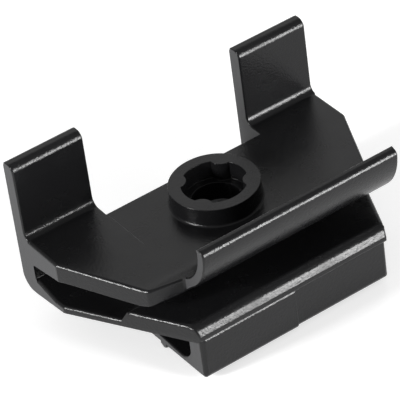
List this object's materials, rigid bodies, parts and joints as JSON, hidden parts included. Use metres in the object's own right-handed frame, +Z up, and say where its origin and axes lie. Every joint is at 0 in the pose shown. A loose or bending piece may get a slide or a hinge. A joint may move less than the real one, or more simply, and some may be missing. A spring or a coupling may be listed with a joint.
{
  "type": "bumper clip",
  "caption": "Moulded black plastic bumper clip: a slotted C-shaped body with upright tabs, a scooped lip, a ribbed boss round a push-in bore and a hollow nose under its lower arm.",
  "frame": {"origin": "on the bore's axis, level with the top of the upper plate", "axes": "+X along the clip's length, +Y towards the back wall and the tabs, +Z up out of the boss; the lip and the mouth of the slot face -Y"},
  "size_m": [0.06, 0.0376, 0.0313],
  "materials": {
    "black_plastic": "satin moulded"
  },
  "bodies": {
    "root": {"clip_body": "black_plastic"}
  },
  "joints": []
}
